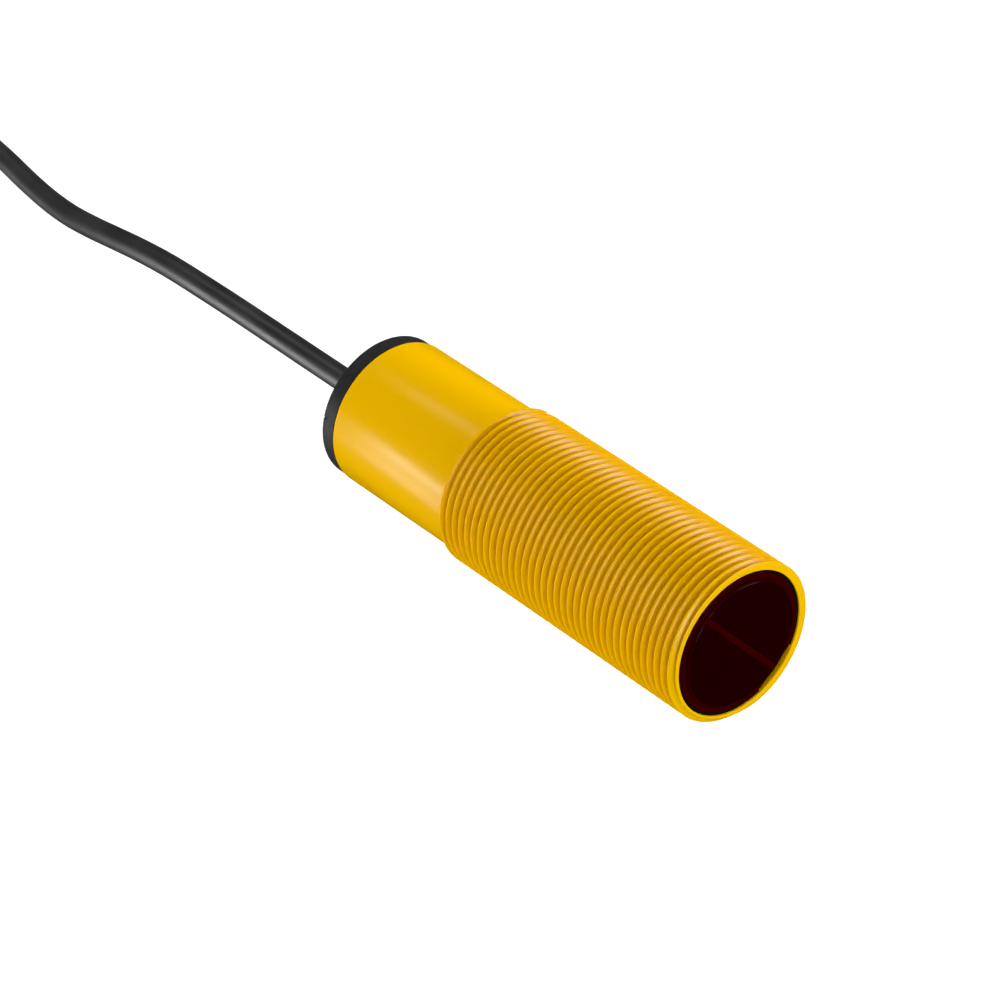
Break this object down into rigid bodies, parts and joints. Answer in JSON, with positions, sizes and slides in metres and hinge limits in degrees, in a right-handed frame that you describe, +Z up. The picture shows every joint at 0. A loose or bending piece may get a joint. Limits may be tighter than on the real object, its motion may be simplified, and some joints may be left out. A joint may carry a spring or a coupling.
{
  "type": "photoelectric sensor",
  "caption": "Cylindrical photoelectric sensor: yellow M18 threaded barrel, split red front lens, black rear cap and a black cable with stripped wire ends.",
  "frame": {"origin": "middle of the sensor's footprint on the surface it lies on, without the cable; the optical axis is 9 mm above it", "axes": "+X along the optical axis, out of the lens; +Z up, away from the surface; +Y to the left seen from behind the sensor"},
  "size_m": [0.2173, 0.0247, 0.018],
  "materials": {
    "barrel_plastic": "satin moulded yellow PBT",
    "lens_red": "polished dark red acrylic",
    "pane_red": "polished deep red acrylic",
    "cap_plastic": "fine matt moulding texture",
    "seal_rubber": "nitrile rubber",
    "bush_rubber": "matt rubber",
    "cable_jacket": "satin black PVC",
    "tie_plastic": "black nylon",
    "holder_plastic": "matt black, light absorbing",
    "barrier_plastic": "matt grey",
    "led_epoxy": "clear pink epoxy",
    "diode_epoxy": "dark epoxy",
    "shield_tin": "tinned steel",
    "board_green": "solder resist over glass epoxy",
    "pin_gold": "gold plated",
    "ic_black": "matt epoxy",
    "capacitor_can": "bright can",
    "ferrite": "ferrite",
    "chip_ceramic": "ceramic",
    "led_package": "white package with clear lens",
    "guide_clear": "clear polycarbonate",
    "sleeve_foil": "copper alloy foil, tinned",
    "resin": "cast resin",
    "clamp_brass": "crimped brass",
    "wire_brown": "PVC insulation",
    "wire_white": "PVC insulation",
    "wire_blue": "PVC insulation",
    "wire_black": "PVC insulation"
  },
  "bodies": {
    "root": {"barrel": "barrel_plastic", "front_bezel": "lens_red", "emitter_lens": "pane_red", "receiver_lens": "pane_red", "bezel_seal": "seal_rubber", "optics_holder": "holder_plastic", "light_barrier": "barrier_plastic", "emitter_led": "led_epoxy", "receiver_diode": "diode_epoxy", "receiver_shield": "shield_tin", "optics_board": "board_green", "board_link": "pin_gold", "main_board": "board_green", "sensor_ic": "ic_black", "output_transistors": "ic_black", "smoothing_capacitor": "capacitor_can", "supply_inductor": "ferrite", "chip_parts": "chip_ceramic", "status_leds": "led_package", "light_guides": "guide_clear", "shield_sleeve": "sleeve_foil", "potting": "resin", "rear_cap": "cap_plastic", "cap_seal": "seal_rubber", "cable_bush": "bush_rubber", "cable_clamp": "clamp_brass", "wire_brown": "wire_brown", "wire_white": "wire_white", "wire_blue": "wire_blue", "wire_black": "wire_black", "cable_run": "cable_jacket", "cable_hank": "cable_jacket", "cable_tail": "cable_jacket", "hank_tie": "tie_plastic", "lead_brown": "wire_brown", "lead_white": "wire_white", "lead_blue": "wire_blue", "lead_black": "wire_black"}
  },
  "joints": []
}
